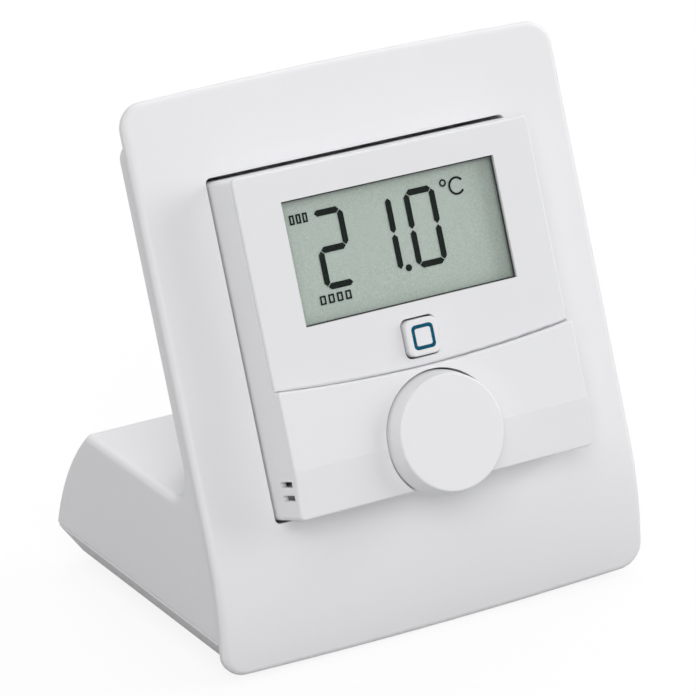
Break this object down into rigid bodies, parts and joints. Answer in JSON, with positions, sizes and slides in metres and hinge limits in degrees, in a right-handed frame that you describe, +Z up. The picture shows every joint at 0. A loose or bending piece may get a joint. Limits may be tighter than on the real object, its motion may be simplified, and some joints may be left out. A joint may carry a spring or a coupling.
{
  "type": "desk-standing room thermostat",
  "caption": "Square thermostat module in a leaning desk stand: segment display above a raised band, square button with a light ring, and a round setting knob.",
  "frame": {"origin": "bottom centre of the bounding box, level with the undersides of the feet", "axes": "+Z up, the face looks along -Y and leans back 20.3 degrees, +X is to the right of someone facing it"},
  "size_m": [0.08, 0.068, 0.0899],
  "materials": {
    "stand_plastic": "fine satin moulding texture",
    "cover_plastic": "satin",
    "case_plastic": "fine satin moulding texture",
    "panel_plastic": "semi-gloss",
    "knob_plastic": "satin",
    "button_plastic": "satin",
    "ring_blue": "translucent light guide",
    "foot_rubber": "matt",
    "screw_steel": "zinc plated",
    "display_glass": "clear",
    "display_ink": "dark segments",
    "display_back": "grey-green, finely speckled",
    "diffuser_plastic": "frosted clear",
    "gasket_foam": "matt",
    "frame_plastic": "matt",
    "elastomer": "matt",
    "board_laminate": "solder mask",
    "part_black": "moulded",
    "part_mixed": "moulded",
    "can_tin": "tinned",
    "wire_copper": "bare wire",
    "cell_jacket": "printed sleeve",
    "contact_steel": "nickel plated",
    "shaft_metal": "turned",
    "led_white": "moulded"
  },
  "bodies": {
    "stand": {"stand_front_plate": "stand_plastic", "stand_rear_shell": "stand_plastic", "stand_bottom_cover": "cover_plastic", "rubber_feet": "foot_rubber", "cover_screws": "screw_steel", "mounting_plate": "case_plastic", "mounting_plate_screws": "screw_steel"},
    "thermostat_module": {"unit_housing": "case_plastic", "display_panel": "panel_plastic", "display_gasket": "gasket_foam", "lcd_glass": "display_glass", "lcd_segments": "display_ink", "lcd_reflector": "display_back", "backlight_diffuser": "diffuser_plastic", "lcd_frame": "frame_plastic", "elastomer_connector": "elastomer", "circuit_board": "board_laminate", "encoder_body": "part_black", "tact_switch_body": "part_black", "status_led": "led_white", "microcontroller": "part_black", "radio_module": "can_tin", "wire_antenna": "wire_copper", "climate_sensor": "part_black", "board_passives": "part_mixed", "back_housing": "case_plastic", "battery_lower": "cell_jacket", "battery_upper": "cell_jacket", "battery_springs": "contact_steel", "battery_contact_plates": "contact_steel", "housing_screws": "screw_steel"},
    "button": {"system_button": "button_plastic", "light_ring": "ring_blue", "tact_plunger": "part_black"},
    "knob_press_stage": {"encoder_push_sleeve": "shaft_metal"},
    "knob": {"setting_knob": "knob_plastic", "knob_shaft": "shaft_metal"}
  },
  "joints": [
    {"name": "module_pull_out", "type": "slide", "parent": "stand", "child": "thermostat_module", "axis": [0, -0.9379, 0.3469], "range_m": [0, 0.035]},
    {"name": "button_press", "type": "slide", "parent": "thermostat_module", "child": "button", "axis": [0, 0.9379, -0.3469], "range_m": [0, 0.0005], "stiffness_N_per_m": 400, "springref_m": -0.0003},
    {"name": "knob_press", "type": "slide", "parent": "thermostat_module", "child": "knob_press_stage", "axis": [0, 0.9379, -0.3469], "range_m": [0, 0.0005], "stiffness_N_per_m": 1000, "springref_m": -0.0003},
    {"name": "knob_turn", "type": "hinge", "parent": "knob_press_stage", "child": "knob", "pos_m": [0, -0.02747, 0.03526], "axis": [0, -0.9379, 0.3469], "continuous": true}
  ]
}
